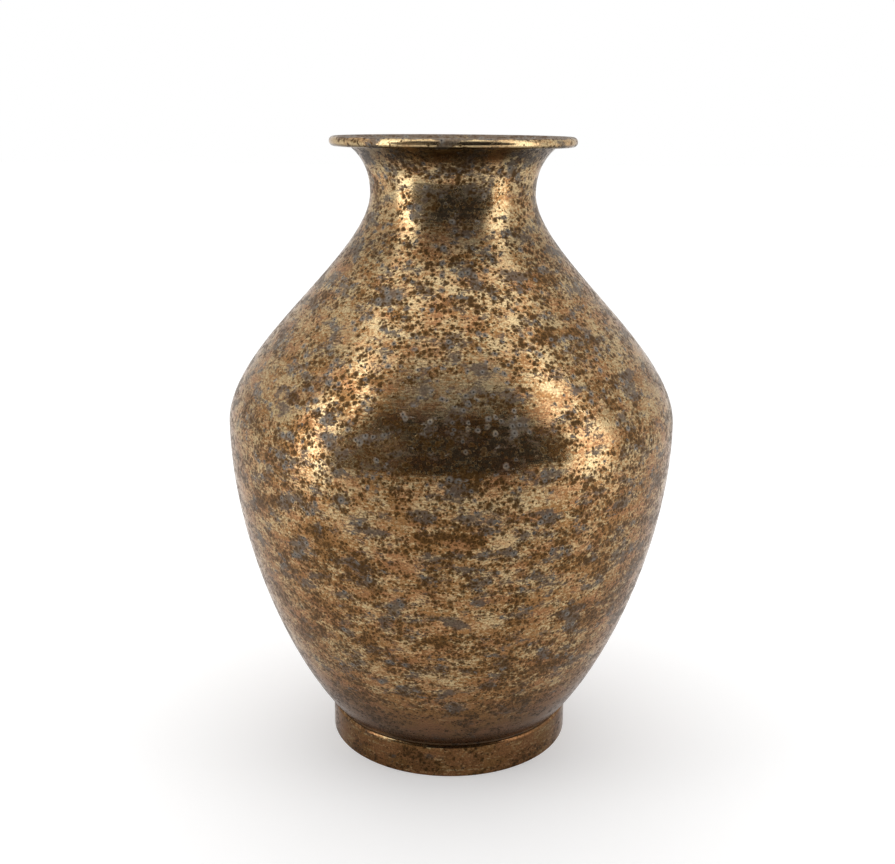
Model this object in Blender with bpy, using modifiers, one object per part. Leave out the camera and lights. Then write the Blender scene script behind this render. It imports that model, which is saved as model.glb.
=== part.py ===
"""Spun copper-alloy vase with a wired lip, a brazed girth and a brazed foot ring.

Metres, +Z up. The vase stands on Z = 0 and is turned about the Z axis.

The body is two bowls of sheet metal. The upper one carries the shoulder, the neck and the lip, whose edge
is rolled over a wire. The lower one carries the flank and the floor, and its mouth is stepped in so that it
slips inside the upper one. Hard solder fills the groove round that step, and a second film of it holds the
floor down on the channel-shaped foot ring.
"""

import math

import bpy
from mathutils import Vector

# Radii of the outer face
BELLY_RADIUS = 0.1085
NECK_RADIUS = 0.0392
RIM_RADIUS = 0.0581
FOOT_RADIUS = 0.0606

# Heights, stacked from the table upwards
FOOT_HEIGHT = 0.0165
BOWL_RISE = 0.1486
SHOULDER_RISE = 0.1083
LIP_RISE = 0.0256

# Handles of the outline's curves: how far the line runs on straight before it turns
BELLY_HANDLE_UP = 0.0349
NECK_HANDLE_DOWN = 0.0287
BELLY_HANDLE_DOWN = 0.0581
BASE_HANDLE = 0.0362
BASE_LEAN = math.radians(50.7)
FLARE_HANDLE_UP = 0.0162
FLARE_HANDLE_IN = 0.0060

# Sheet metal, wire and joints
SHEET = 0.0009
FOOT_SHEET = 0.0012
WIRE_RADIUS = 0.0011
JOINT_GAP = 0.0003
BRAZE_FILM = 0.0004
CURL_START = math.radians(110)
LAP = 0.008
STEP_RISE = 0.0022
FLOOR_BEND = 0.004
FOOT_CORNER = 0.0020
FOOT_SEAT = 0.0100
FOOT_HEM = 0.0070
BRAZE_INSET = 0.0015

# Fineness of the turned surfaces
TURNS = 60
SHOULDER_POINTS = 14
FLANK_POINTS = 11
FLARE_POINTS = 6
CURL_POINTS = 11
CORNER_POINTS = 4
WIRE_SIDES = 8

# Levels and centres that follow from the sizes above
FLOOR_LEVEL = FOOT_HEIGHT + 2 * JOINT_GAP + BRAZE_FILM
GIRTH_LEVEL = FLOOR_LEVEL + BOWL_RISE
NECK_LEVEL = GIRTH_LEVEL + SHOULDER_RISE
TOP_LEVEL = NECK_LEVEL + LIP_RISE
CURL_RADIUS = WIRE_RADIUS + JOINT_GAP
BEAD_RADIUS = CURL_RADIUS + SHEET
BEAD_CENTRE = Vector((RIM_RADIUS - BEAD_RADIUS, TOP_LEVEL - BEAD_RADIUS))
CURL_END = CURL_START + math.acos((CURL_RADIUS - 2 * JOINT_GAP) / BEAD_RADIUS) - 2 * math.pi
LAP_INSET = SHEET + JOINT_GAP

# Metal finishes: colour, roughness, metallic
PATINA = ("patinated_copper_alloy", (0.30, 0.19, 0.09), 0.38, 0.85)
BRAZE = ("brazing_brass", (0.62, 0.47, 0.20), 0.45, 1.0)
STEEL = ("rim_wire_steel", (0.42, 0.41, 0.40), 0.40, 1.0)


def clear_scene():
    """Removes whatever the file holds."""
    for obj in list(bpy.data.objects):
        bpy.data.objects.remove(obj)


def point(radius, height):
    """A point of the turned outline."""
    return Vector((radius, height))


def heading(angle):
    """Unit direction in the outline's plane, measured from the outward horizontal."""
    return Vector((math.cos(angle), math.sin(angle)))


def bezier(start, start_handle, end_handle, end, count):
    """Points along a cubic curve, both ends included."""
    line = []
    for i in range(count):
        t = i / (count - 1)
        u = 1 - t
        line.append(u**3 * start + 3 * u * u * t * start_handle + 3 * u * t * t * end_handle + t**3 * end)
    return line


def arc(centre, radius, start, end, count):
    """Points along a circular arc, both ends included."""
    return [centre + radius * heading(start + (end - start) * i / (count - 1)) for i in range(count)]


def inset(line, distance):
    """The line moved sideways, towards the inside of an outline that runs downwards."""
    moved = []
    for i, here in enumerate(line):
        along = (line[min(i + 1, len(line) - 1)] - line[max(i - 1, 0)]).normalized()
        moved.append(here + distance * Vector((along.y, -along.x)))
    return moved


def shoulder_line():
    """Outer face from the neck down to the girth, where both halves of the body are widest."""
    neck = point(NECK_RADIUS, NECK_LEVEL)
    girth = point(BELLY_RADIUS, GIRTH_LEVEL)
    down = Vector((0, -1))
    return bezier(neck, neck + NECK_HANDLE_DOWN * down, girth - BELLY_HANDLE_UP * down, girth, SHOULDER_POINTS)


def flank_line():
    """Outer face from below the stepped mouth down to the middle of the floor, over the edge of the foot."""
    girth = point(BELLY_RADIUS, GIRTH_LEVEL)
    base = point(FOOT_RADIUS, FLOOR_LEVEL)
    lean = heading(BASE_LEAN)
    whole = bezier(girth, girth - Vector((0, BELLY_HANDLE_DOWN)), base + BASE_HANDLE * lean, base, FLANK_POINTS)
    step_foot = girth - Vector((0, STEP_RISE))
    tangent = FLOOR_BEND * math.tan(BASE_LEAN / 2)
    quarter = math.pi / 2
    bend_centre = point(FOOT_RADIUS - tangent, FLOOR_LEVEL + FLOOR_BEND)
    bend = arc(bend_centre, FLOOR_BEND, BASE_LEAN - quarter, -quarter, CORNER_POINTS)
    return [step_foot] + whole[1:-1] + bend + [point(0, FLOOR_LEVEL)]


def lap_line():
    """Outer face of the stepped mouth, which follows the inside of the upper half for the lap's length."""
    inside = inset(shoulder_line(), LAP_INSET)[::-1]
    line = [inside[0]]
    left = LAP
    for here, above in zip(inside, inside[1:]):
        run = (above - here).length
        line.append(here.lerp(above, min(1.0, left / run)))
        left -= run
        if left <= 0:
            break
    return line[::-1]


def lip_line():
    """Outer face from the free end of the curl, round the wire and down the flare to the neck."""
    curl = arc(BEAD_CENTRE, CURL_RADIUS, CURL_END, CURL_START, CURL_POINTS)
    neck = point(NECK_RADIUS, NECK_LEVEL)
    inward = -heading(CURL_START - math.pi / 2)
    flare = bezier(
        curl[-1],
        curl[-1] + FLARE_HANDLE_IN * inward,
        neck + Vector((0, FLARE_HANDLE_UP)),
        neck,
        FLARE_POINTS,
    )
    return curl + flare[1:]


def foot_line():
    """Outer face of the foot ring's channel, from its upper lip round the wall to the hem it stands on."""
    across = FOOT_RADIUS - FOOT_CORNER
    quarter = math.pi / 2
    upper = arc(point(across, FOOT_HEIGHT - FOOT_CORNER), FOOT_CORNER, quarter, 0, CORNER_POINTS)
    lower = arc(point(across, FOOT_CORNER), FOOT_CORNER, 0, -quarter, CORNER_POINTS)
    seat_edge = point(across - FOOT_SEAT, FOOT_HEIGHT)
    hem_edge = point(across - FOOT_HEM, 0)
    return [seat_edge] + upper + lower + [hem_edge]


def girth_braze_loop():
    """Section of the hard solder that fills the groove round the stepped mouth, dressed flush outside."""
    step_top = lap_line()[-1]
    step_foot = flank_line()[0]
    slope = (step_foot - step_top).normalized()
    clear = step_top + JOINT_GAP * Vector((-slope.y, slope.x))
    top = GIRTH_LEVEL - JOINT_GAP
    inner = clear + slope * ((top - clear.y) / slope.y)
    lowest = clear + slope * ((BELLY_RADIUS - clear.x) / slope.x)
    return [point(BELLY_RADIUS, top), lowest, inner]


def foot_braze_loop():
    """Section of the film of hard solder between the floor and the foot ring's upper lip."""
    outside = FOOT_RADIUS - FOOT_CORNER - BRAZE_INSET
    inside = FOOT_RADIUS - FOOT_CORNER - FOOT_SEAT + BRAZE_INSET
    low = FOOT_HEIGHT + JOINT_GAP
    high = low + BRAZE_FILM
    return [point(outside, high), point(outside, low), point(inside, low), point(inside, high)]


def metal(finish):
    """A metal material, made once for each finish."""
    name, colour, roughness, metallic = finish
    material = bpy.data.materials.get(name)
    if material is None:
        material = bpy.data.materials.new(name)
        material.use_nodes = True
        shader = material.node_tree.nodes["Principled BSDF"]
        shader.inputs["Base Color"].default_value = (*colour, 1)
        shader.inputs["Roughness"].default_value = roughness
        shader.inputs["Metallic"].default_value = metallic
        material.diffuse_color = (*colour, 1)
    return material


def turned(name, line, finish, collection, sheet=None):
    """An outline turned about Z. An open line becomes sheet metal of the given thickness, a closed one a ring."""
    edges = [(i, i + 1) for i in range(len(line) - 1)]
    if sheet is None:
        edges.append((len(line) - 1, 0))
    mesh = bpy.data.meshes.new(name)
    mesh.from_pydata([(p.x, 0, p.y) for p in line], edges, [])
    mesh.materials.append(metal(finish))
    obj = bpy.data.objects.new(name, mesh)
    collection.objects.link(obj)
    screw = obj.modifiers.new("Turning", "SCREW")
    screw.steps = screw.render_steps = TURNS
    screw.use_merge_vertices = True
    screw.merge_threshold = 0.00001
    screw.use_smooth_shade = True
    if sheet is not None:
        solidify = obj.modifiers.new("Sheet", "SOLIDIFY")
        solidify.thickness = sheet
        solidify.offset = -1
        solidify.use_even_offset = True
    return obj


def rim_wire(collection):
    """The wire ring that stiffens the lip, lying in the curl."""
    bpy.ops.mesh.primitive_torus_add(
        major_radius=BEAD_CENTRE.x,
        minor_radius=WIRE_RADIUS,
        major_segments=TURNS,
        minor_segments=WIRE_SIDES,
        location=(0, 0, BEAD_CENTRE.y),
    )
    wire = bpy.context.object
    wire.name = wire.data.name = "rim_wire"
    wire.data.materials.append(metal(STEEL))
    wire.data.shade_smooth()
    for holder in list(wire.users_collection):
        holder.objects.unlink(wire)
    collection.objects.link(wire)


def main():
    clear_scene()
    vase = bpy.data.collections.new("copper_vase")
    bpy.context.scene.collection.children.link(vase)
    turned("upper_shell", lip_line() + shoulder_line()[1:], PATINA, vase, SHEET)
    turned("lower_shell", lap_line() + flank_line(), PATINA, vase, SHEET)
    turned("foot_ring", foot_line(), PATINA, vase, FOOT_SHEET)
    turned("girth_braze", girth_braze_loop(), BRAZE, vase)
    turned("foot_braze", foot_braze_loop(), BRAZE, vase)
    rim_wire(vase)


main()
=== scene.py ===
"""Dressed model of the spun copper-alloy vase: meshes, finishes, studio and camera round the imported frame.

Metres, +Z up. The vase stands on Z = 0 and is turned about the Z axis. The two bowls, the girth seam, the
foot ring and the solder above it are turned again here with a finer outline. The rim wire is carried over.
"""

import logging
import math
from dataclasses import dataclass
from enum import Enum
from functools import partial

import bpy
from mathutils import Matrix, Vector

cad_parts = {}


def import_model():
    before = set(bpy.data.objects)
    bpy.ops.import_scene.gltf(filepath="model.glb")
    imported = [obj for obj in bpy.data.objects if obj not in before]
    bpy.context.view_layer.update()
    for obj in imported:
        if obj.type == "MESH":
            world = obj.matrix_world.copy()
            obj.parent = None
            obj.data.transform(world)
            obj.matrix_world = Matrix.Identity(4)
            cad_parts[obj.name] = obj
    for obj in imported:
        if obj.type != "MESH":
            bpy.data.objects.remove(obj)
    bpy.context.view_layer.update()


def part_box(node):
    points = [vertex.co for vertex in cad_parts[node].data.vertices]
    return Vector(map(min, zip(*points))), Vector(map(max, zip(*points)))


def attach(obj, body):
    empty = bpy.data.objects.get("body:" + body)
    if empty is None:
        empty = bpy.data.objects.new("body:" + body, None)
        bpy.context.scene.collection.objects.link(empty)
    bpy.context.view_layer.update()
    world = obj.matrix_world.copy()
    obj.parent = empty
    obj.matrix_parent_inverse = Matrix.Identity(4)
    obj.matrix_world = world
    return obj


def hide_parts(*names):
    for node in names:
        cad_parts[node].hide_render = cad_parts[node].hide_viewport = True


LOG = logging.getLogger("vase")
BODY = "root"
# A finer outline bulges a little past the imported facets, so the lip keeps this far inside their box.
BOX_MARGIN = 0.00001
FULL_TURN = 2 * math.pi
QUARTER = math.pi / 2
MM_PER_METRE = 1000
WHITE = (1, 1, 1, 1)
# Middle of a noise pattern's range.
MID = 0.5
# Size of the plane that is shrunk to the first point of a line.
SEED_SIZE = 0.001
# Points of a turned line that lie nearer than this are one point.
MERGE_REACH = 0.000002

Patterns = dict[str, bpy.types.NodeSocket]


class Slot(Enum):
    """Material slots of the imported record."""

    PATINA = "patinated_metal"
    SOLDER = "hard_solder"


def linear(colour: str) -> tuple[float, float, float, float]:
    """Turns an sRGB hex colour to linear light.

    Args:
        colour: Six hex digits after a hash.

    Returns:
        Linear red, green and blue, and an alpha of 1.
    """
    channels = [int(colour[i : i + 2], 16) / 255 for i in (1, 3, 5)]
    lit = [c / 12.92 if c <= 0.04045 else ((c + 0.055) / 1.055) ** 2.4 for c in channels]
    return (*lit, 1.0)


def per_mm(size: float) -> float:
    """Texture scale that gives a pattern the stated size in millimetres on Object coordinates in metres."""
    return MM_PER_METRE / size


def add_node(
    tree: bpy.types.NodeTree,
    kind: str,
    inputs: dict | None = None,
    output: int | str = 0,
    **settings: object,
) -> bpy.types.NodeSocket:
    """Adds a shader node with its settings, values and links.

    Args:
        tree: Node tree that takes the node.
        kind: Blender's name for the kind of node, without its ShaderNode prefix.
        inputs: Sockets by name or index, each with a value or with the output that feeds it.
        output: Name or index of the output that is wanted.
        settings: Attributes of the node.

    Returns:
        The wanted output.
    """
    node = tree.nodes.new("ShaderNode" + kind)
    for name, value in settings.items():
        setattr(node, name, value)
    for key, value in (inputs or {}).items():
        if isinstance(value, bpy.types.NodeSocket):
            tree.links.new(value, node.inputs[key])
        else:
            node.inputs[key].default_value = value
    return node.outputs[output]


def weighted(tree: bpy.types.NodeTree, start: object, *terms: tuple) -> bpy.types.NodeSocket:
    """Adds weighted patterns to a start.

    Args:
        tree: Node tree of the finish.
        start: Value or socket to begin from.
        terms: Pairs of a pattern and its weight, which is a value or a socket; a pattern may carry its
            middle as a third entry.

    Returns:
        The sum.
    """
    total = start
    for pattern, weight, *middle in terms:
        if middle:
            pattern = add_node(tree, "Math", {0: pattern, 1: middle[0]}, operation="SUBTRACT")
        total = add_node(tree, "Math", {0: pattern, 1: weight, 2: total}, operation="MULTIPLY_ADD")
    return total


def mask_above(tree: bpy.types.NodeTree, value: object, edge: object, soft: float) -> bpy.types.NodeSocket:
    """Masks where a pattern passes an edge.

    Args:
        tree: Node tree of the finish.
        value: The pattern.
        edge: Value at the middle of the border.
        soft: Half of the border's width.

    Returns:
        The mask, 0 below the border and 1 above it.
    """
    over = add_node(tree, "Math", {0: value, 1: edge}, operation="SUBTRACT")
    return add_node(tree, "MapRange", {0: over, 1: -soft, 2: soft}, interpolation_type="SMOOTHSTEP")


def inverse(tree: bpy.types.NodeTree, mask: bpy.types.NodeSocket) -> bpy.types.NodeSocket:
    """Turns a mask round, so that 1 becomes 0."""
    return weighted(tree, 1.0, (mask, -1.0))


def mask_belt(
    tree: bpy.types.NodeTree, height: bpy.types.NodeSocket, level: float, reach: float, soft: float
) -> bpy.types.NodeSocket:
    """Masks a belt round the vase.

    Args:
        tree: Node tree of the finish.
        height: Height over the table.
        level: Height of the belt's middle.
        reach: Half of the belt's height.
        soft: Half of the width of its borders.

    Returns:
        The mask, 1 in the belt and 0 above and below it.
    """
    over = mask_above(tree, height, level + reach, soft)
    return weighted(tree, mask_above(tree, height, level - reach, soft), (over, -1.0))


def product(tree: bpy.types.NodeTree, first: object, second: object) -> bpy.types.NodeSocket:
    """Multiplies two patterns."""
    return add_node(tree, "Math", {0: first, 1: second}, operation="MULTIPLY")


def blend(tree: bpy.types.NodeTree, share: object, under: object, over: object) -> bpy.types.NodeSocket:
    """Blends two colours.

    Args:
        tree: Node tree of the finish.
        share: Share of the second colour.
        under: First colour in linear light, or the socket that gives it.
        over: Second colour, likewise.

    Returns:
        The blended colour.
    """
    # The Mix node's sockets 6 and 7 take the colours, and its output 2 gives the blend.
    return add_node(tree, "Mix", {0: share, 6: under, 7: over}, 2, data_type="RGBA")


def new_material(name: str) -> tuple[bpy.types.Material, bpy.types.NodeTree, bpy.types.Node]:
    """Makes a material that holds one Principled shader.

    Args:
        name: Name of the material.

    Returns:
        The material, its node tree and its shader node.
    """
    material = bpy.data.materials.new(name)
    material.use_nodes = True
    tree = material.node_tree
    return material, tree, tree.nodes["Principled BSDF"]


@dataclass(frozen=True)
class Dabs:
    """Dabs of oxide, splashed round centres that are scattered near the surface; millimetres.

    The share of the centres that have a dab is the one where nothing crowds or clears them. The tears, the
    swelling, the border and the middle are shares of the largest radius.
    """

    spacing: float
    radii: tuple[float, float]
    share: float
    coarse_tear: float = 1.1
    fine_tear: float = 0.8
    crowded_swell: float = 0.3
    crowded_from: float = 0.7
    border: float = 0.38
    middle: tuple[float, float] = (0.26, 0.12)
    share_soft: float = 0.06

    def masks(
        self,
        tree: bpy.types.NodeTree,
        here: bpy.types.NodeSocket,
        normal: bpy.types.NodeSocket,
        density: bpy.types.NodeSocket,
        fray: tuple[bpy.types.NodeSocket, bpy.types.NodeSocket],
    ) -> tuple[bpy.types.NodeSocket, bpy.types.NodeSocket]:
        """Scatters the dabs, and measures each along the surface.

        Args:
            tree: Node tree of the finish.
            here: Place on the surface.
            normal: Direction out of the surface.
            density: Share of the centres that have a dab.
            fray: Coarse and fine clouds that tear the dabs' edges.

        Returns:
            Masks of the dabs and of their middles.
        """
        node = partial(add_node, tree)
        cells = node("TexVoronoi", {"Vector": here, "Scale": per_mm(self.spacing)}).node.outputs
        away = node("VectorMath", {0: here, 1: cells["Position"]}, operation="SUBTRACT")
        depth = node("VectorMath", {0: away, 1: normal}, 1, operation="DOT_PRODUCT")
        sunk = node("VectorMath", {0: normal, 3: depth}, operation="SCALE")
        along = node("VectorMath", {0: away, 1: sunk}, operation="SUBTRACT")
        reach = node("VectorMath", {0: along}, 1, operation="LENGTH")
        smallest, largest = (radius / MM_PER_METRE for radius in self.radii)
        coarse, fine = fray
        torn = weighted(tree, reach, (coarse, largest * self.coarse_tear, MID))
        torn = weighted(tree, torn, (fine, largest * self.fine_tear, MID))
        torn = weighted(tree, torn, (density, -largest * self.crowded_swell, self.crowded_from))
        pick = node("SeparateColor", {0: cells["Color"]}).node.outputs
        radius = node("MapRange", {0: pick[0], 3: smallest, 4: largest})
        inside = node("Math", {0: radius, 1: torn}, operation="SUBTRACT")
        dab = mask_above(tree, inside, 0.0, largest * self.border)
        middle = inverse(tree, mask_above(tree, reach, *(largest * share for share in self.middle)))
        there = mask_above(tree, density, pick[1], self.share_soft)
        half_spacing = self.spacing / MM_PER_METRE / 2
        near = node("Math", {0: depth, 1: 0.0, 2: half_spacing}, operation="COMPARE")
        dab = product(tree, dab, product(tree, there, near))
        return dab, product(tree, middle, dab)


@dataclass(frozen=True)
class MottledPatina:
    """Spun copper alloy, stained and waxed: gold metal under brown film, splashed spots and slate bloom.

    The clean metal mirrors the room, so it runs from near black to pale gold, and its glancing edges are a
    little darker. The film dulls it to a brown gold. Dots, fine specks, rings and bloom are matte, so they
    look dark in the lit parts and pale in the dark ones. Turning leaves fine level streaks and draws the
    stains out level. A belt above the widest girth is scratched level and has fewer spots. Dirt darkens the
    foot, and a belt below the neck is darker. Painted shade darkens the body just above the foot ring and
    the underside of the lip, and together with heavier patina it darkens the lower body a little.
    """

    gold: str = "#bba47c"
    copper: str = "#b7946a"
    film: str = "#8f6840"
    flush: str = "#926744"
    edge: str = "#e9e3df"
    blush_mm: float = 14.0
    crowd_mm: float = 27.0
    haze_mm: float = 15.0
    slate_mm: float = 13.0
    clump_mm: float = 8.0
    streak_mm: float = 1.3
    # The film's real grit is finer than a pixel, so it is drawn a few pixels wide to show at all.
    grit_mm: float = 1.8
    grain_mm: float = 0.8
    dots: Dabs = Dabs(2.7, (0.30, 1.30), 0.82)
    specks: Dabs = Dabs(1.5, (0.25, 0.75), 0.46)
    rings: Dabs = Dabs(3.8, (0.80, 1.70), 0.16)
    # Where the clouds of stain lie on this one vase, and how far turning flattens them and its streaks.
    spread: tuple[float, float, float] = (-0.11, -0.77, 0.82)
    cloud_stretch: tuple[float, float, float] = (1, 1, 1.9)
    streak_stretch: tuple[float, float, float] = (0.03, 0.03, 1)
    # Middle and half width of the border where a cloud turns to stain.
    mass_edge: tuple[float, float] = (0.12, 0.10)
    film_edge: tuple[float, float] = (0.50, 0.14)
    slate_edge: tuple[float, float] = (0.562, 0.06)
    blush_edge: tuple[float, float] = (0.555, 0.10)
    # Middle and half width of the borders between places: first heights, then the reach from the axis along
    # the normal, then the normal's rise.
    joint_edge: tuple[float, float] = (0.0170, 0.0002)
    foot_edge: tuple[float, float] = (0.040, 0.020)
    belly_edge: tuple[float, float] = (0.155, 0.030)
    neck_edge: tuple[float, float] = (0.260, 0.012)
    rim_edge: tuple[float, float] = (0.295, 0.0015)
    outer_edge: tuple[float, float] = (0.0, 0.002)
    flat_rise: tuple[float, float] = (0.75, 0.20)
    outward_rise: tuple[float, float] = (-0.50, 0.25)
    # Middle, half height and half width of the borders of each belt.
    scratch_belt: tuple[float, float, float] = (0.192, 0.011, 0.006)
    root_belt: tuple[float, float, float] = (0.253, 0.009, 0.006)
    dirt_and_shade: tuple[tuple[str, float], ...] = (
        # The lower body is a little darker: heavier patina, with painted shade for a dimmer reflection of
        # the floor.
        ("lower", -0.05),
        ("foot", -0.32),
        # Painted shade on the body just above the foot ring, by the groove.
        ("base", -0.22),
        ("ring", -0.08),
        ("scratch", -0.05),
        # A belt below the neck is darker.
        ("root", -0.22),
        # Painted shade under the lip.
        ("under", -0.75),
        ("inside", -0.25),
    )
    wear: tuple[tuple[str, float], ...] = (("neck", 0.07), ("bead", 0.15))
    # Layers over the film from the metal outwards: stain, colour, cover and dullness.
    layers: tuple[tuple[str, str, float, float], ...] = (
        ("mass", "#523816", 0.34, 0.20),
        ("slate", "#5f544a", 0.84, 0.55),
        ("speck", "#523816", 0.85, 0.60),
        ("dot", "#523816", 0.95, 0.70),
        ("core", "#2e1c0c", 0.50, 0.70),
        ("ring", "#857d73", 0.90, 0.90),
        ("pit", "#17110c", 0.80, 1.00),
    )
    film_dullness: float = 0.10
    # Range of the grain that shows, and the tones that it spans.
    grain_range: tuple[float, float] = (0.25, 0.75)
    tone_range: tuple[float, float] = (0.48, 1.48)
    polish: float = 0.16
    dull_rise: float = 0.42
    streak_rise: float = 0.15
    gloss: float = 0.12
    relief: float = 0.001

    def material(self) -> bpy.types.Material:
        """Builds the patina from its layers.

        Returns:
            The material, which reads Object coordinates.
        """
        material, tree, shader = new_material("waxed_copper_alloy_patina")
        node = partial(add_node, tree)
        place = node("TexCoord").node.outputs
        here, normal = place["Object"], place["Normal"]
        cloud = self._clouds(tree, here)
        where = self._places(tree, here, normal)
        stain = self._stains(tree, cloud, where)
        stain |= self._spots(tree, here, normal, cloud, where, stain)

        metal = blend(tree, stain["blush"], linear(self.gold), linear(self.copper))
        brown = blend(tree, stain["blush"], linear(self.film), linear(self.flush))
        colour = blend(tree, stain["film"], metal, brown)
        matte = weighted(tree, 0.0, (stain["film"], self.film_dullness))
        for name, shade, cover, dull in self.layers:
            over = weighted(tree, 0.0, (stain[name], cover))
            colour = blend(tree, over, colour, linear(shade))
            dulled = weighted(tree, 0.0, (stain[name], dull))
            matte = node("Math", {0: matte, 1: dulled}, operation="MAXIMUM")
        colour = node("VectorMath", {0: colour, 3: self._tone(tree, cloud, where)}, operation="SCALE")
        streak = cloud["streak"]
        rough = weighted(tree, self.polish, (matte, self.dull_rise), (streak, self.streak_rise, MID))
        relief = weighted(tree, 0.0, (cloud["grain"], 0.010), (streak, 0.080))
        relief = weighted(tree, relief, (stain["dot"], 0.015), (stain["ring"], 0.020))
        relief = weighted(tree, relief, (stain["pit"], -0.060))

        tree.links.new(colour, shader.inputs["Base Color"])
        tree.links.new(inverse(tree, matte), shader.inputs["Metallic"])
        tree.links.new(rough, shader.inputs["Roughness"])
        bump = node("Bump", {"Distance": self.relief, "Height": relief})
        tree.links.new(bump, shader.inputs["Normal"])
        shader.inputs["Specular IOR Level"].default_value = self.gloss
        shader.inputs["Specular Tint"].default_value = linear(self.edge)
        return material

    def _stains(self, tree: bpy.types.NodeTree, cloud: Patterns, where: Patterns) -> Patterns:
        """Turns the clouds to stains, each thicker or thinner by place.

        Args:
            tree: Node tree of the finish.
            cloud: The soft patterns by name.
            where: Masks of the places by name.

        Returns:
            How far the spots gather and how far hands have worn the metal, and masks of the brown masses,
            the film, the slate bloom and the copper blush.
        """
        grit, streak = cloud["grit"], cloud["streak"]
        gather = weighted(tree, 0.0, (cloud["crowd"], 1.1, MID), (cloud["clump"], 0.9, MID))
        gather = weighted(tree, gather, (where["lower"], 0.05), (where["foot"], 0.06))
        mass = mask_above(tree, weighted(tree, gather, (grit, 0.5, MID)), *self.mass_edge)
        worn = weighted(tree, 0.0, *((where[name], share) for name, share in self.wear))
        lines = product(tree, where["foot"], weighted(tree, -0.35, (streak, 0.7)))
        haze = weighted(tree, MID, (cloud["haze"], 0.8, MID), (grit, 1.1, MID), (streak, 0.30, MID))
        haze = weighted(tree, haze, (mass, 0.10), (where["inside"], 0.30))
        haze = weighted(tree, haze, (where["lower"], 0.06), (where["base"], 0.22), (where["foot"], 0.08))
        haze = weighted(tree, haze, (lines, 1.0), (worn, -1.0))
        slate = weighted(tree, cloud["slate"], (grit, 0.40, MID))
        slate = weighted(tree, slate, (where["top"], 0.18), (where["foot"], -0.12))
        blush = weighted(tree, cloud["blush"], (where["foot"], 0.08))
        return {
            "gather": gather,
            "worn": worn,
            "mass": mass,
            "film": mask_above(tree, haze, *self.film_edge),
            "slate": mask_above(tree, slate, *self.slate_edge),
            "blush": mask_above(tree, blush, *self.blush_edge),
        }

    def _spots(
        self,
        tree: bpy.types.NodeTree,
        here: bpy.types.NodeSocket,
        normal: bpy.types.NodeSocket,
        cloud: Patterns,
        where: Patterns,
        stain: Patterns,
    ) -> Patterns:
        """Splashes the dots, the fine specks and the rings.

        Args:
            tree: Node tree of the finish.
            here: Place on the surface.
            normal: Direction out of the surface.
            cloud: The soft patterns by name.
            where: Masks of the places by name.
            stain: The stains by name.

        Returns:
            Masks of the dots and their dark cores, the specks, and the rings and their pits.
        """
        gather, worn = stain["gather"], stain["worn"]
        crowded = weighted(tree, self.dots.share, (gather, 3.6), (worn, -2.0), (where["scratch"], -0.45))
        crowded = weighted(tree, crowded, (where["lower"], -0.2), (where["foot"], -0.6))
        strewn = weighted(tree, self.specks.share, (gather, 2.0), (worn, -1.5), (where["scratch"], -0.2))
        strewn = weighted(tree, strewn, (where["foot"], -0.4))
        ringed = weighted(tree, self.rings.share, (stain["slate"], 0.6), (worn, -1.0))
        ringed = weighted(tree, ringed, (where["lower"], -0.22), (where["foot"], -0.3))
        fray = (cloud["grit"], cloud["grain"])
        dot, core = self.dots.masks(tree, here, normal, crowded, fray)
        speck, _ = self.specks.masks(tree, here, normal, strewn, fray)
        ring, pit = self.rings.masks(tree, here, normal, ringed, fray)
        faded = weighted(tree, 0.95, (where["lower"], -0.15))
        return {"dot": product(tree, dot, faded), "core": core, "speck": speck, "ring": ring, "pit": pit}

    def _tone(self, tree: bpy.types.NodeTree, cloud: Patterns, where: Patterns) -> bpy.types.NodeSocket:
        """Lightens and darkens the finish by its grain, its level streaks, and the dirt and painted shade of
        each place.

        Args:
            tree: Node tree of the finish.
            cloud: The soft patterns by name.
            where: Masks of the places by name.

        Returns:
            The factor by which the colour is multiplied.
        """
        ends = dict(enumerate((*self.grain_range, *self.tone_range), start=1))
        grain = add_node(tree, "MapRange", {0: cloud["grain"], **ends})
        scored = weighted(tree, 0.4, (where["scratch"], 0.9))
        turned = weighted(tree, 1.0, (cloud["streak"], scored, MID))
        dirt_and_shade = weighted(tree, 1.0, *((where[name], share) for name, share in self.dirt_and_shade))
        return product(tree, product(tree, grain, turned), dirt_and_shade)

    def _clouds(self, tree: bpy.types.NodeTree, here: bpy.types.NodeSocket) -> Patterns:
        """Lays the soft patterns that steer the stains.

        Args:
            tree: Node tree of the finish.
            here: Place on the surface.

        Returns:
            The patterns by name, each about 0.5 in the middle.
        """
        lying = {"Vector": here, "Location": self.spread, "Scale": self.cloud_stretch}
        level = add_node(tree, "Mapping", lying)
        drawn = add_node(tree, "Mapping", {"Vector": here, "Scale": self.streak_stretch})
        # Each cloud: where it is read, its size, its detail and its roughness.
        clouds = {
            "grain": (here, self.grain_mm, 3.0, 0.60),
            "grit": (level, self.grit_mm, 4.0, 0.65),
            "clump": (level, self.clump_mm, 3.0, 0.55),
            "crowd": (level, self.crowd_mm, 4.0, 0.55),
            "haze": (level, self.haze_mm, 7.0, 0.62),
            "blush": (level, self.blush_mm, 4.0, 0.60),
            "slate": (level, self.slate_mm, 5.0, 0.60),
            "streak": (drawn, self.streak_mm, 4.0, 0.65),
        }
        made = {}
        for name, (at, size, detail, rough) in clouds.items():
            values = {"Vector": at, "Scale": per_mm(size), "Detail": detail, "Roughness": rough}
            made[name] = add_node(tree, "TexNoise", values)
        return made

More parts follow.
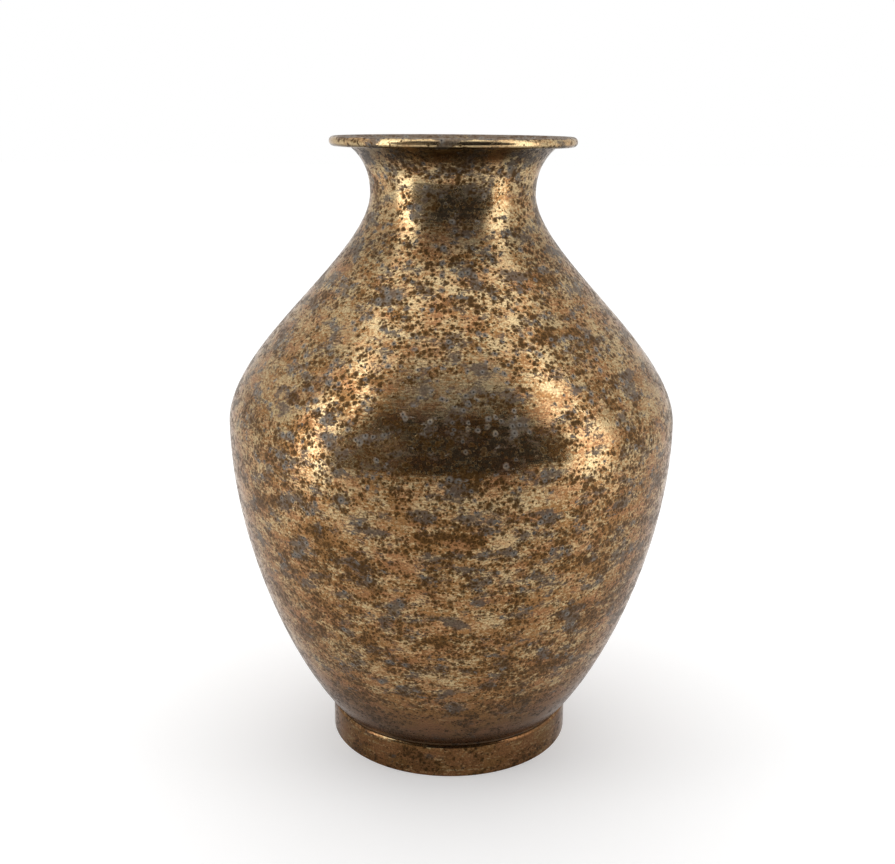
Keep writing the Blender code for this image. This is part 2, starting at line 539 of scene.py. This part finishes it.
    def _places(
        self, tree: bpy.types.NodeTree, here: bpy.types.NodeSocket, normal: bpy.types.NodeSocket
    ) -> Patterns:
        """Marks the parts of the vase that stain differently.

        Args:
            tree: Node tree of the finish.
            here: Place on the surface.
            normal: Direction out of the surface.

        Returns:
            Masks by name: the lower body, its foot end, the base above the foot ring, the ring, the belt of
            scratches above the girth, the hollow below the neck, the neck that hands wear bright, the
            underside, top and bead of the lip, and the inside.
        """
        node = partial(add_node, tree)
        height = node("SeparateXYZ", {0: here}, "Z")
        facing = node("SeparateXYZ", {0: normal}, "Z")
        spoke = node("Mapping", {"Vector": here, "Scale": (1, 1, 0)})
        radial = node("VectorMath", {0: spoke, 1: normal}, 1, operation="DOT_PRODUCT")
        outside = mask_above(tree, radial, *self.outer_edge)
        upper = mask_above(tree, height, *self.belly_edge)
        body = mask_above(tree, height, *self.foot_edge)
        joint = mask_above(tree, height, *self.joint_edge)
        neck = mask_above(tree, height, *self.neck_edge)
        rim = mask_above(tree, height, *self.rim_edge)
        flat = mask_above(tree, facing, *self.flat_rise)
        outward = mask_above(tree, facing, *self.outward_rise)
        shown = node("Math", {0: outside, 1: neck}, operation="MAXIMUM")
        top = product(tree, rim, flat)
        foot = inverse(tree, body)
        return {
            "lower": inverse(tree, upper),
            "foot": foot,
            # Body just above the foot ring: it takes more film, and painted shade in the tone.
            "base": product(tree, foot, joint),
            "ring": inverse(tree, joint),
            "scratch": mask_belt(tree, height, *self.scratch_belt),
            "root": mask_belt(tree, height, *self.root_belt),
            "neck": neck,
            # Underside of the lip, which the tone darkens with painted shade.
            "under": product(tree, neck, inverse(tree, outward)),
            "top": top,
            "bead": weighted(tree, rim, (top, -1.0)),
            "inside": inverse(tree, shown),
        }


@dataclass(frozen=True)
class StainedMetal:
    """A bare metal with clouds of stain and fine lines or grit left by the tool."""

    name: str
    clean: str
    stain: str
    stain_mm: float
    tool_mm: float
    draw: float
    bare: tuple[float, float]
    rough: tuple[float, float]
    stain_edge: tuple[float, float] = (0.54, 0.08)
    relief: float = 0.0001

    def material(self) -> bpy.types.Material:
        """Builds the metal with its stains and tool marks.

        Returns:
            The material, which reads Object coordinates.
        """
        material, tree, shader = new_material(self.name)
        node = partial(add_node, tree)
        here = node("TexCoord", output="Object")
        cloud = node("TexNoise", {"Vector": here, "Scale": per_mm(self.stain_mm), "Detail": 6.0})
        mask = mask_above(tree, cloud, *self.stain_edge)
        drawn = node("Mapping", {"Vector": here, "Scale": (self.draw, self.draw, 1)})
        marks = node("TexNoise", {"Vector": drawn, "Scale": per_mm(self.tool_mm), "Detail": 2.0})
        colour = blend(tree, mask, linear(self.clean), linear(self.stain))
        tree.links.new(colour, shader.inputs["Base Color"])
        metallic = node("MapRange", {0: mask, 3: self.bare[0], 4: self.bare[1]})
        tree.links.new(metallic, shader.inputs["Metallic"])
        rough = node("MapRange", {0: mask, 3: self.rough[0], 4: self.rough[1]})
        tree.links.new(rough, shader.inputs["Roughness"])
        bump = node("Bump", {"Strength": 0.3, "Distance": self.relief, "Height": marks})
        tree.links.new(bump, shader.inputs["Normal"])
        return material


# Brass hard solder, browned with the vase: dull brown, with a file's grit and darker stains of dirt.
BROWNED_SOLDER = StainedMetal(
    "hard_solder_browned", "#5f4830", "#3a2b1d", 6.0, 0.7, 1.0, (0.6, 0.3), (0.45, 0.65)
)
# Drawn steel wire: grey, with lines along the draw and rust where the curl keeps the damp.
DRAWN_WIRE = StainedMetal(
    "drawn_steel_wire", "#8d8b87", "#6a4430", 5.0, 0.5, 0.05, (1.0, 0.1), (0.35, 0.80)
)


def seed_point(name: str, place: Vector) -> bpy.types.Object:
    """Adds an object of one point and leaves it in edit mode.

    Args:
        name: Name of the object.
        place: Place of its point.

    Returns:
        The object, with its point selected.
    """
    bpy.ops.object.select_all(action="DESELECT")
    bpy.ops.mesh.primitive_plane_add(size=SEED_SIZE)
    piece = bpy.context.object
    piece.name = piece.data.name = name
    bpy.ops.object.mode_set(mode="EDIT")
    bpy.ops.mesh.merge(type="CENTER")
    bpy.ops.transform.translate(value=place)
    return piece


@dataclass(frozen=True)
class Measures:
    """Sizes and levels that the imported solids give, in metres."""

    belly_radius: float
    girth_level: float
    floor_level: float
    foot_radius: float
    foot_height: float
    bead_radius: float
    bead_middle: Vector

    @classmethod
    def from_frame(cls) -> "Measures":
        """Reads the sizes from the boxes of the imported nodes.

        Returns:
            The measures of the vase as it was packed.
        """
        shell_low, shell_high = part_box("upper_shell")
        bowl_low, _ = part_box("lower_shell")
        _, foot_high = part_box("foot_ring")
        wire_low, wire_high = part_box("rim_wire")
        wire_radius = (wire_high[2] - wire_low[2]) / 2
        middle = Vector((wire_high[0] - wire_radius, wire_low[2] + wire_radius))
        return cls(
            belly_radius=shell_high[0],
            girth_level=shell_low[2],
            floor_level=bowl_low[2],
            foot_radius=foot_high[0],
            foot_height=foot_high[2],
            bead_radius=shell_high[2] - middle.y - BOX_MARGIN,
            bead_middle=middle,
        )


@dataclass(frozen=True)
class Outline:
    """Outer line of the vase in the plane of radius and height, fitted to the silhouette; metres."""

    size: Measures
    neck_radius: float = 0.0392
    neck_rise: float = 0.1083
    belly_handle_up: float = 0.0349
    neck_handle_down: float = 0.0287
    belly_handle_down: float = 0.0581
    base_handle: float = 0.0362
    base_lean: float = math.radians(50.7)
    flare_handle_up: float = 0.0162
    flare_handle_in: float = 0.0060
    sheet: float = 0.0009
    joint_gap: float = 0.0003
    curl_start: float = math.radians(110)
    lap: float = 0.008
    step_rise: float = 0.0022
    floor_bend: float = 0.003
    foot_corner: float = 0.0020
    foot_hollow: float = 0.0007
    foot_seat: float = 0.0100
    foot_hem: float = 0.0070
    curl_points: int = 30
    flare_points: int = 24
    body_points: int = 72
    bend_points: int = 10
    hollow_points: int = 9
    shoulder_ease: float = 1.6
    flank_ease: float = 1.4
    # Points of the floor's bend and of the foot's edge where the solder's face ends.
    fillet_floor: int = 5
    fillet_foot: int = 3

    @staticmethod
    def heading(angle: float) -> Vector:
        """Unit direction, measured from the outward horizontal."""
        return Vector((math.cos(angle), math.sin(angle)))

    @staticmethod
    def bezier(ends: tuple[Vector, Vector, Vector, Vector], count: int, ease: float = 1.0) -> list[Vector]:
        """Draws a cubic curve.

        Args:
            ends: Start, its handle, the end's handle and the end.
            count: Number of points, both ends included.
            ease: How far the points crowd towards the end, where 1 spreads them evenly.

        Returns:
            Points along the curve.
        """
        line = []
        for i in range(count):
            u = (1 - i / (count - 1)) ** ease
            t = 1 - u
            weights = (u**3, 3 * u * u * t, 3 * u * t * t, t**3)
            line.append(sum((w * p for w, p in zip(weights, ends)), Vector((0, 0))))
        return line

    def arc(self, middle: Vector, radius: float, start: float, end: float, count: int) -> list[Vector]:
        """Draws a circular arc.

        Args:
            middle: Middle of the circle.
            radius: Radius of the circle.
            start: Angle of the first point.
            end: Angle of the last point.
            count: Number of points, both ends included.

        Returns:
            Points along the arc.
        """
        turn = (end - start) / (count - 1)
        return [middle + radius * self.heading(start + turn * i) for i in range(count)]

    @property
    def neck(self) -> Vector:
        """Narrowest point of the neck."""
        return Vector((self.neck_radius, self.size.girth_level + self.neck_rise))

    @property
    def girth(self) -> Vector:
        """Widest point of the belly, where the two bowls meet."""
        return Vector((self.size.belly_radius, self.size.girth_level))

    @property
    def base(self) -> Vector:
        """Point where the flank would meet the floor without a bend."""
        return Vector((self.size.foot_radius, self.size.floor_level))

    def lip(self) -> list[Vector]:
        """Draws the lip.

        Returns:
            Points from the free end of the curl, round the wire and down the flare to the neck.
        """
        inner = self.size.bead_radius - self.sheet
        shut = math.acos((inner - 2 * self.joint_gap) / self.size.bead_radius)
        free_end = self.curl_start + shut - FULL_TURN
        curl = self.arc(self.size.bead_middle, inner, free_end, self.curl_start, self.curl_points)
        inward = -self.heading(self.curl_start - QUARTER)
        start_handle = curl[-1] + self.flare_handle_in * inward
        end_handle = self.neck + Vector((0, self.flare_handle_up))
        flare = self.bezier((curl[-1], start_handle, end_handle, self.neck), self.flare_points)
        return curl + flare[1:]

    def shoulder(self) -> list[Vector]:
        """Draws the shoulder.

        Returns:
            Points from the neck down to the girth.
        """
        down = Vector((0, -1))
        start_handle = self.neck + self.neck_handle_down * down
        end_handle = self.girth - self.belly_handle_up * down
        ends = (self.neck, start_handle, end_handle, self.girth)
        return self.bezier(ends, self.body_points, self.shoulder_ease)

    def mouth(self) -> list[Vector]:
        """Draws the lower bowl's stepped mouth, which follows the inside of the upper bowl.

        Returns:
            Points from the mouth's edge down to the girth.
        """
        outer = self.shoulder()[::-1]
        line = []
        run = 0.0
        for i, here in enumerate(outer):
            along = (outer[min(i + 1, len(outer) - 1)] - outer[max(i - 1, 0)]).normalized()
            line.append(here - (self.sheet + self.joint_gap) * Vector((along.y, -along.x)))
            if i > 0:
                run += (line[-1] - line[-2]).length
            if run > self.lap:
                break
        return line[::-1]

    def flank(self) -> list[Vector]:
        """Draws the flank and the floor.

        Returns:
            Points from below the stepped mouth down to the middle of the floor.
        """
        step_foot = self.girth - Vector((0, self.step_rise))
        start_handle = self.girth - Vector((0, self.belly_handle_down))
        end_handle = self.base + self.base_handle * self.heading(self.base_lean)
        ends = (self.base, end_handle, start_handle, step_foot)
        whole = self.bezier(ends, self.body_points, self.flank_ease)[::-1]
        bend = self.floor_edge()
        side = [p for p in whole if p.y > bend[0].y + self.floor_bend / 4]
        return side + bend + [Vector((0, self.size.floor_level))]

    def floor_edge(self) -> list[Vector]:
        """Draws the bend at the floor's edge.

        Returns:
            Points from the flank into the floor.
        """
        tangent = self.floor_bend * math.tan(self.base_lean / 2)
        middle = self.base + Vector((-tangent, self.floor_bend))
        return self.arc(middle, self.floor_bend, self.base_lean - QUARTER, -QUARTER, self.bend_points)

    def foot_edge(self) -> list[Vector]:
        """Draws the foot ring's rounded upper edge.

        Returns:
            Points from its flat top down into its wall.
        """
        across = self.size.foot_radius - self.foot_corner
        middle = Vector((across, self.size.foot_height - self.foot_corner))
        return self.arc(middle, self.foot_corner, QUARTER, 0, self.bend_points)

    def foot(self) -> list[Vector]:
        """Draws the foot ring's channel.

        Returns:
            Points from its upper lip round the wall to the hem that it stands on.
        """
        upper = self.foot_edge()
        seat_edge = upper[0] - Vector((self.foot_seat, 0))
        stand_edge = Vector((self.size.foot_radius, 0))
        hem_edge = Vector((upper[0].x - self.foot_hem, 0))
        return [seat_edge] + upper + [stand_edge, hem_edge]

    def fillet(self) -> list[Vector]:
        """Draws the hard solder between floor and foot, with a hollow face in the groove.

        Returns:
            Points round its closed section.
        """
        floor = self.floor_edge()[self.fillet_floor :]
        foot = self.foot_edge()[: self.fillet_foot + 1]
        foot_handle = foot[-1] + self.foot_hollow * (foot[-2] - foot[-1]).normalized()
        floor_handle = floor[0] + self.foot_hollow * (floor[1] - floor[0]).normalized()
        hollow = self.bezier((foot[-1], foot_handle, floor_handle, floor[0]), self.hollow_points)
        deep = foot[0].x - self.foot_seat / 2
        inner = [Vector((deep, self.size.floor_level)), Vector((deep, self.size.foot_height))]
        return hollow + floor[1:] + inner + foot[:-1]

    def seam(self) -> list[Vector]:
        """Closed section of the hard solder in the groove round the stepped mouth, dressed flush."""
        return [self.girth, self.flank()[0], self.mouth()[-1]]


@dataclass
class TurnedPiece:
    """A piece turned about the vase's axis from a line in the plane of radius and height."""

    name: str
    stands_for: str
    slot: Slot
    line: list[Vector]
    sheet: float = 0.0
    turns: int = 192
    edge: float = 0.0
    crease: float = math.radians(20)
    sharp: float = math.radians(60)

    def build(self, finish: bpy.types.Material) -> bpy.types.Object:
        """Turns the line, gives it the sheet's thickness, sets it in the frame and dresses it.

        Args:
            finish: Material for all of its faces.

        Returns:
            The finished piece, which rides on the vase's body.
        """
        first = self.line[0]
        piece = seed_point(self.name, Vector((first.x, 0, first.y)))
        self._draw()
        self._turn()
        if self.sheet > 0:
            self._thicken(piece)
        bpy.ops.object.shade_smooth_by_angle(angle=self.crease)
        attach(piece, BODY)
        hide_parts(self.stands_for)
        piece.data.materials.clear()
        piece.data.materials.append(finish)
        return piece

    def _draw(self) -> None:
        """Extrudes the first point along the line, and closes a solid section."""
        for before, after in zip(self.line, self.line[1:]):
            step = after - before
            bpy.ops.mesh.extrude_vertices_move(TRANSFORM_OT_translate={"value": (step.x, 0, step.y)})
        if self.sheet == 0:
            bpy.ops.mesh.select_all(action="SELECT")
            bpy.ops.mesh.edge_face_add()
            bpy.ops.mesh.delete(type="ONLY_FACE")

    def _turn(self) -> None:
        """Spins the line once round the axis, closes its seam and poles, and turns its faces outwards."""
        bpy.ops.mesh.select_all(action="SELECT")
        bpy.ops.mesh.spin(steps=self.turns, angle=FULL_TURN, center=(0, 0, 0), axis=(0, 0, 1))
        bpy.ops.mesh.select_all(action="SELECT")
        bpy.ops.mesh.remove_doubles(threshold=MERGE_REACH)
        bpy.ops.mesh.normals_make_consistent(inside=False)
        bpy.ops.object.mode_set(mode="OBJECT")
        widest = max(bpy.context.object.data.polygons, key=lambda face: face.center.xy.length)
        if widest.normal.dot(widest.center) < 0:
            bpy.ops.object.mode_set(mode="EDIT")
            bpy.ops.mesh.flip_normals()
            bpy.ops.object.mode_set(mode="OBJECT")

    def _thicken(self, piece: bpy.types.Object) -> None:
        """Gives the turned sheet its thickness on the inside and rounds its cut edges.

        Args:
            piece: The turned sheet.
        """
        solidify = piece.modifiers.new("Sheet", "SOLIDIFY")
        solidify.thickness = self.sheet
        solidify.offset = -1
        solidify.use_even_offset = True
        bpy.ops.object.modifier_apply(modifier=solidify.name)
        if self.edge > 0:
            bevel = piece.modifiers.new("Dressed edges", "BEVEL")
            bevel.width = self.edge
            bevel.segments = 2
            bevel.limit_method = "ANGLE"
            bevel.angle_limit = self.sharp
            bpy.ops.object.modifier_apply(modifier=bevel.name)


@dataclass
class VaseBody:
    """The two spun bowls and the flush seam of hard solder between them."""

    outline: Outline

    def build(self, patina: bpy.types.Material) -> list[bpy.types.Object]:
        """Turns the bowls and their seam and dresses them.

        Args:
            patina: Finish of the sheet and of the seam, which is stained with it.

        Returns:
            The three pieces.
        """
        line = self.outline
        upper = line.lip() + line.shoulder()[1:]
        lower = line.mouth() + line.flank()
        parts = (
            TurnedPiece("upper_bowl", "upper_shell", Slot.PATINA, upper, line.sheet),
            TurnedPiece("lower_bowl", "lower_shell", Slot.PATINA, lower, line.sheet),
            TurnedPiece("girth_seam", "girth_braze", Slot.SOLDER, line.seam()),
        )
        return [part.build(patina) for part in parts]


@dataclass
class Foot:
    """The channel-shaped ring that the vase stands on, and the solder that fills the groove above it."""

    outline: Outline
    sheet: float = 0.0012
    edge: float = 0.0003

    def build(self, patina: bpy.types.Material, solder: bpy.types.Material) -> list[bpy.types.Object]:
        """Turns the ring and the solder and dresses them.

        Args:
            patina: Finish of the ring.
            solder: Finish of the solder.

        Returns:
            The two pieces.
        """
        line = self.outline
        ring = TurnedPiece("foot_band", "foot_ring", Slot.PATINA, line.foot(), self.sheet, edge=self.edge)
        fillet = TurnedPiece("foot_fillet", "foot_braze", Slot.SOLDER, line.fillet())
        return [ring.build(patina), fillet.build(solder)]


@dataclass
class CarriedNode:
    """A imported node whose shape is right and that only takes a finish."""

    node: str

    def dress(self, finish: bpy.types.Material) -> bpy.types.Object:
        """Gives the node its finish.

        Args:
            finish: Material for all of its faces.

        Returns:
            The node's object.
        """
        piece = bpy.data.objects[self.node]
        for holder in piece.material_slots:
            holder.material = finish
        return piece


@dataclass
class Studio:
    """White tent with a dark front, two tall side lights and a soft light overhead; metres and degrees.

    The front is hung with dark cloths that the camera doesn't see and the polished metal mirrors: a shaded
    left end, a dark middle that narrows upwards, and a paler flap that leans in over it.
    """

    middle: float = 0.20
    reach: float = 0.57
    front_left: float = -57.0
    front_split: float = -22.0
    front_right: float = 55.0
    front_foot: float = 0.04
    front_top: float = 46.5
    step_level: float = 0.15
    step_right: float = 34.0
    wing_top: float = 29.0
    flap_reach: float = 0.40
    flap_top: float = 63.0
    flap_half: float = 45.0
    side_angle: float = 66.0
    side_width: float = 0.25
    side_foot: float = 0.01
    side_height: float = 0.89
    side_light: tuple[float, float] = (2.25, 1.60)
    roof_level: float = 1.0
    roof_front: float = -0.30
    roof_back: float = 0.25
    roof_width: float = 1.30
    roof_light: float = 0.70
    shade: str = "#827d7a"
    gloom: str = "#39383c"
    flap: str = "#bfc1c6"
    paper: str = "#e6e6e6"
    lift: float = 0.30
    floor_size: float = 14.0
    cloth_steps: int = 24

    def build(self) -> None:
        """Sets up the world, the floor, the dark front and the lights."""
        self._world()
        self._floor()
        foot, wing = (self.reach, self.front_foot), self._edge(self.reach, self.wing_top)
        step = (self.reach, self.step_level)
        head, eaves = self._edge(self.reach, self.front_top), self._edge(self.flap_reach, self.flap_top)
        left, split, right = self.front_left, self.front_split, self.front_right
        half = self.flap_half
        cloths = (
            ("shaded_front", self.shade, (foot, wing), (left, split)),
            ("dark_foot", self.gloom, (foot, step), (split, self.step_right)),
            ("dark_front", self.gloom, (step, wing), (split, right)),
            ("dark_middle", self.gloom, (wing, head), (-half, half)),
            ("front_flap", self.flap, (head, eaves), (-half, half)),
        )
        for cloth in cloths:
            self._cloth(*cloth)
        self._lights()

    def _edge(self, reach: float, angle: float) -> tuple[float, float]:
        """Reach and height of a cloth's edge that is seen at an angle above the vase's middle."""
        return reach, self.middle + reach * math.tan(math.radians(angle))

    def _world(self) -> None:
        """White all round, at the level that shows a colour about as it is written."""
        world = bpy.data.worlds.new("white_tent")
        bpy.context.scene.world = world
        world.use_nodes = True
        back = world.node_tree.nodes["Background"]
        back.inputs["Color"].default_value = WHITE
        back.inputs["Strength"].default_value = 1.0

    def _matte(
        self, name: str, colour: str
    ) -> tuple[bpy.types.Material, bpy.types.NodeTree, bpy.types.Node]:
        """Makes a matte material for the studio.

        Args:
            name: Name of the material.
            colour: Its colour.

        Returns:
            The material, its node tree and its shader node.
        """
        material, tree, shader = new_material(name)
        shader.inputs["Base Color"].default_value = linear(colour)
        shader.inputs["Roughness"].default_value = 1.0
        shader.inputs["Specular IOR Level"].default_value = 0.0
        return material, tree, shader

    def _floor(self) -> None:
        """Pale floor that looks white where it is lit and keeps the vase's shadow."""
        bpy.ops.object.select_all(action="DESELECT")
        bpy.ops.mesh.primitive_plane_add(size=self.floor_size)
        floor = bpy.context.object
        floor.name = "floor"
        material, tree, shader = self._matte("white_paper_floor", self.paper)
        path = add_node(tree, "LightPath").node.outputs
        kinds = ("Is Camera Ray", "Is Glossy Ray", "Is Transmission Ray")
        lift = weighted(tree, 0.0, *((path[kind], self.lift) for kind in kinds))
        shader.inputs["Emission Color"].default_value = WHITE
        tree.links.new(lift, shader.inputs["Emission Strength"])
        floor.data.materials.append(material)

    def _cloth(
        self, name: str, colour: str, ends: tuple[tuple[float, float], ...], span: tuple[float, float]
    ) -> None:
        """Hangs a cloth round the front of the tent, which the polished metal mirrors.

        Args:
            name: Name of the cloth.
            colour: Its colour.
            ends: Reach from the axis and height of its lower and upper edge.
            span: Angles of its two ends, from straight in front towards the right.
        """
        start, end = (math.radians(angle) for angle in span)
        out, up = Vector((math.sin(start), -math.cos(start), 0)), Vector((0, 0, 1))
        low, high = (out * reach + up * level for reach, level in ends)
        cloth = seed_point(name, low)
        bpy.ops.mesh.extrude_vertices_move(TRANSFORM_OT_translate={"value": high - low})
        bpy.ops.mesh.select_all(action="SELECT")
        bpy.ops.mesh.spin(steps=self.cloth_steps, angle=end - start, center=(0, 0, 0), axis=(0, 0, -1))
        bpy.ops.object.mode_set(mode="OBJECT")
        cloth.visible_camera = False
        cloth.data.materials.append(self._matte(name + "_cloth", colour)[0])

    def _lights(self) -> None:
        """Two tall soft lights beside the front and a wide one overhead."""
        level = self.side_foot + self.side_height / 2
        for side, light in zip((-1, 1), self.side_light):
            angle = math.radians(self.side_angle) * side
            place = Vector((self.reach * math.sin(angle), -self.reach * math.cos(angle), level))
            self._panel(place, Vector((0, 0, level)), (self.side_width, self.side_height), light)
        roof = Vector((0, (self.roof_front + self.roof_back) / 2, self.roof_level))
        size = (self.roof_width, self.roof_back - self.roof_front)
        self._panel(roof, roof - Vector((0, 0, 1)), size, self.roof_light)

    def _panel(self, place: Vector, aim: Vector, size: tuple[float, float], radiance: float) -> None:
        """Adds a rectangular light.

        Args:
            place: Middle of the light.
            aim: Point that it faces.
            size: Width and height of its face.
            radiance: Brightness of its face, where 1 is the white of the tent.
        """
        bpy.ops.object.select_all(action="DESELECT")
        bpy.ops.object.light_add(type="AREA", location=place)
        lamp = bpy.context.object
        lamp.rotation_euler = (aim - place).to_track_quat("-Z", "Y").to_euler()
        lamp.data.shape = "RECTANGLE"
        lamp.data.size, lamp.data.size_y = size
        lamp.data.energy = radiance * math.pi * size[0] * size[1]
        lamp.visible_camera = False


@dataclass
class Viewpoint:
    """Camera at the photograph's place, as fitted to the silhouette; metres and degrees."""

    aside: float = -0.0018
    back: float = 0.56535
    height: float = 0.30956
    pitch: float = 15.14
    roll: float = 0.4
    lens: float = 47.14
    sensor: float = 36.0

    def build(self) -> None:
        """Adds the camera and makes it the scene's own."""
        data = bpy.data.cameras.new("viewpoint")
        camera = bpy.data.objects.new("viewpoint", data)
        bpy.context.scene.collection.objects.link(camera)
        tilt = Matrix.Rotation(math.radians(90 - self.pitch), 3, "X")
        turn = tilt @ Matrix.Rotation(math.radians(self.roll), 3, "Z")
        camera.location = (self.aside, -self.back, self.height)
        camera.rotation_euler = turn.to_euler()
        data.sensor_width = self.sensor
        data.lens = self.lens
        bpy.context.scene.camera = camera


def main() -> None:
    """Loads the frame, builds and dresses the vase, and sets up the studio."""
    logging.basicConfig(level=logging.INFO, format="%(name)s: %(message)s")
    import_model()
    bpy.context.scene.view_settings.view_transform = "Standard"
    outline = Outline(Measures.from_frame())
    patina = MottledPatina().material()

    pieces = VaseBody(outline).build(patina)
    pieces += Foot(outline).build(patina, BROWNED_SOLDER.material())
    pieces.append(CarriedNode("rim_wire").dress(DRAWN_WIRE.material()))
    Studio().build()
    Viewpoint().build()
    for piece in pieces:
        LOG.info("%s: %d faces, %s", piece.name, len(piece.data.polygons), piece.material_slots[0].name)


if __name__ == "__main__":
    main()
